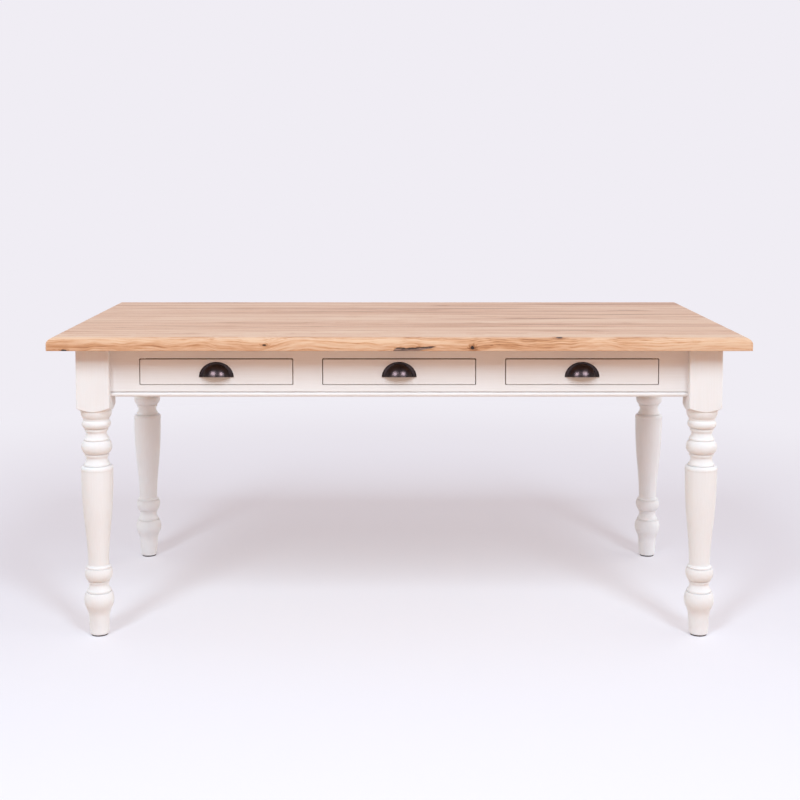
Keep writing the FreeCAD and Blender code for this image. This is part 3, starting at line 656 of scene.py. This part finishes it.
def paint(name, stretch, outwards=None, face=0.0, wrap=0.007, soft=0.0):
    """Brushed satin paint. Stretch is how many ridges there are to a metre along each axis. Outwards is the
    axis that the painted face looks along, if the back is bare, face is how far out it is, and wrap is how
    far the paint goes round the edges. Soft is how much of the light goes a little way into the paint."""
    finish = Finish(bpy.data.materials.new(name))
    point = where(finish)
    brush = cloud(finish, point, stretch, detail=3.0)
    patch = cloud(finish, point, PATCH_SCALE, detail=3.0)
    speck = cloud(finish, point, SPECK_SCALE, detail=1.0)
    thin = soft_step(finish, brush * THIN_BRUSH + patch * THIN_PATCH, THIN_FROM, THIN_TO)
    colour = blend(finish, thin, CREAM, CREAM_THIN)
    rough = patch * PATCH_DULL + brush * BRUSH_DULL + SATIN
    if outwards:
        inside = face - abs(axis(finish, point, outwards))
        bare = soft_step(finish, inside + speck * BARE_RAGGED, wrap, wrap + BARE_SOFT)
        back = blend(finish, brush * BARE_STREAK - BARE_LIFT, BARE_PALE, BARE_DARK)
        colour = blend(finish, bare, colour, back)
        rough = rough + bare * BARE_DULL
    bumps = relief(finish, brush + speck * SPECK_RAISED, PAINT_RELIEF)
    finish.shade({"Base Color": colour, "Roughness": rough, "Normal": bumps})
    finish.shade({"Subsurface Weight": soft, "Subsurface Radius": PAINT_REACH, "Subsurface Scale": PAINT_DEPTH})
    return finish


front_face = -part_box("apron_front")[0].y
side_face = -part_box("apron_left")[0].x
along_x = paint("cream_paint_along_x", BRUSHED_X, "Y", front_face)
fronts = paint("cream_paint_fronts", BRUSHED_X, "Y", front_face, wrap=0.002)
along_y = paint("cream_paint_along_y", BRUSHED_Y, "X", side_face)
upright = paint("cream_paint_upright", BRUSHED_Z, soft=0.4)
dress(along_x, "apron_front", "apron_back")
dress(fronts, *of_each_drawer("front"))
dress(along_y, "apron_left", "apron_right")
dress(upright, *starting("leg_front", "leg_back"))
print("painted faces are", round(front_face, 3), "and", round(side_face, 3), "m from the middle")

# %% [markdown]
# ## The wood that the drawers are made of
#
# The drawer boxes are pale lacquered wood with a quiet grain, and the bearers, guides, kickers, stops and
# buttons are plain wood without a finish. The same rings serve, with paler colours and fewer pores. The grain
# runs along each piece, so the sides of the drawers and what they run on have theirs turned.

# %% The drawer boxes and their runners
PALE = (
    (0.0, tint(240, 216, 182)),
    (0.4, tint(229, 199, 158)),
    (0.7, tint(214, 178, 133)),
    (1.0, tint(182, 140, 96)),
)
BARE = (
    (0.0, tint(226, 198, 160)),
    (0.4, tint(211, 178, 137)),
    (0.7, tint(190, 153, 112)),
    (1.0, tint(150, 113, 78)),
)
LACQUERED = {"pores": 0.1, "figure": 0.22, "dull": 0.4}
UNFINISHED = {"pores": 0.2, "dull": 0.62}
QUARTER_TURN = math.pi / 2

box_across = wood("drawer_box_across", PALE, tone=0.34, heart=(0.0, 0.58), shift=41.0, **LACQUERED)
box_along = wood("drawer_box_along", PALE, tone=0.38, heart=(0.03, 0.60), shift=47.0, turn=QUARTER_TURN,
                 **LACQUERED)
runner_along = wood("runner_along", BARE, tone=0.40, heart=(0.02, 0.55), shift=53.0, turn=QUARTER_TURN,
                    **UNFINISHED)
dress(box_across, *of_each_drawer("back"), *of_each_drawer("bottom"))
dress(box_along, *of_each_drawer("side_left"), *of_each_drawer("side_right"))
dress(runner_along, *starting("drawer_bearer", "drawer_guide", "drawer_kicker"), "drawer_stops", "top_buttons")
print("drawer boxes and runners dressed")

# %% [markdown]
# ## The cup pulls
#
# The pulls are cast and finished a dark brown, nearly black. The skin is not quite even, so the gloss breaks
# up a little, and fingers rub the lower lip towards bronze. The cup is polished, and the flange that lies on
# the drawer is rougher and painted darker still, a painted shade that keeps the cards' reflections off it, so
# only the cup shows the two cards. The distance from the drawer's face parts them.

# %% The cup pulls
PULL_DARK = tint(60, 54, 56)
PULL_WARM = tint(68, 60, 60)
WARM_FROM, WARM_TO = 0.35, 0.7
PULL_RUBBED = tint(96, 82, 76)
RUBBED_HEIGHT = 0.004
RUBBED_SHARE = 0.8
# Painted shade: the flange is the same metal as the cup, given a darker colour so that it reflects less.
PULL_FLANGE_SHADE = tint(42, 36, 36)
CUP_STARTS = 0.004
CUP_SOFT = 0.002
MOTTLE_SCALE = (130, 130, 130)
GRIT_SCALE = (1100, 1100, 1100)
POLISH = 0.26
MOTTLE_DULL, GRIT_DULL, FLANGE_DULL = 0.06, 0.04, 0.25
MOTTLE_RAISED, GRIT_RAISED = 0.7, 0.3
PULL_RELIEF = 0.00003

bronze = Finish(bpy.data.materials.new("pull_bronze"))
spot = where(bronze)
mottle = cloud(bronze, spot, MOTTLE_SCALE, detail=3.0)
grit = cloud(bronze, spot, GRIT_SCALE)
lip = "drawer_middle_pull"
lip_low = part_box(lip)[0].z
rubbed = soft_step(bronze, axis(bronze, spot, "Z"), lip_low + RUBBED_HEIGHT, lip_low) * mottle
skin = blend(bronze, soft_step(bronze, mottle, WARM_FROM, WARM_TO), PULL_DARK, PULL_WARM)
skin = blend(bronze, rubbed * RUBBED_SHARE, skin, PULL_RUBBED)
# The flange's darker colour is painted shade on the same cast metal; only its extra roughness is a finish.
flange = soft_step(bronze, axis(bronze, spot, "Y") + front_face, -CUP_STARTS - CUP_SOFT, -CUP_STARTS)
skin = blend(bronze, flange, skin, PULL_FLANGE_SHADE)
bronze.shade({
    "Base Color": skin, "Metallic": 1.0,
    "Roughness": mottle * MOTTLE_DULL + grit * GRIT_DULL + flange * FLANGE_DULL + POLISH,
    "Normal": relief(bronze, mottle * MOTTLE_RAISED + grit * GRIT_RAISED, PULL_RELIEF),
})
dress(bronze, *of_each_drawer("pull"))
print("pulls rubbed at", round(lip_low, 3), "m")

# %% [markdown]
# ## Screws and glides
#
# The screws are plain steel with faint turning marks. The glides under the feet are discs of dark felt,
# whose fibres lie every way, so fine noise gives both the colour and the nap.

# %% Screws and glides
STEEL_PALE = tint(188, 186, 182)
STEEL_DARK = tint(148, 146, 144)
TURNED_SCALE = (500, 500, 3000)
STEEL_DULL, TURNED_DULL = 0.2, 0.3
STEEL_RELIEF = 0.00005
FELT_DARK = tint(46, 32, 29)
FELT_PALE = tint(76, 57, 52)
NAP_SCALE = (1600, 1600, 1600)
FELT_DULL, NAP_DULL = 0.88, 0.1
FELT_SHEEN = 0.1
FELT_RELIEF = 0.0004

steel = Finish(bpy.data.materials.new("screw_steel"))
turned = cloud(steel, where(steel), TURNED_SCALE)
steel.shade({
    "Base Color": blend(steel, turned, STEEL_PALE, STEEL_DARK), "Metallic": 1.0,
    "Roughness": turned * TURNED_DULL + STEEL_DULL, "Normal": relief(steel, turned, STEEL_RELIEF),
})
dress(steel, "button_screws", *of_each_drawer("pull_screws"))

felt = Finish(bpy.data.materials.new("glide_felt"))
nap = cloud(felt, where(felt), NAP_SCALE, detail=3.0)
felt.shade({
    "Base Color": blend(felt, nap, FELT_DARK, FELT_PALE), "Sheen Weight": FELT_SHEEN,
    "Roughness": nap * NAP_DULL + FELT_DULL, "Normal": relief(felt, nap, FELT_RELIEF),
})
dress(felt, *starting("leg_glide"))
print("screws and glides dressed")
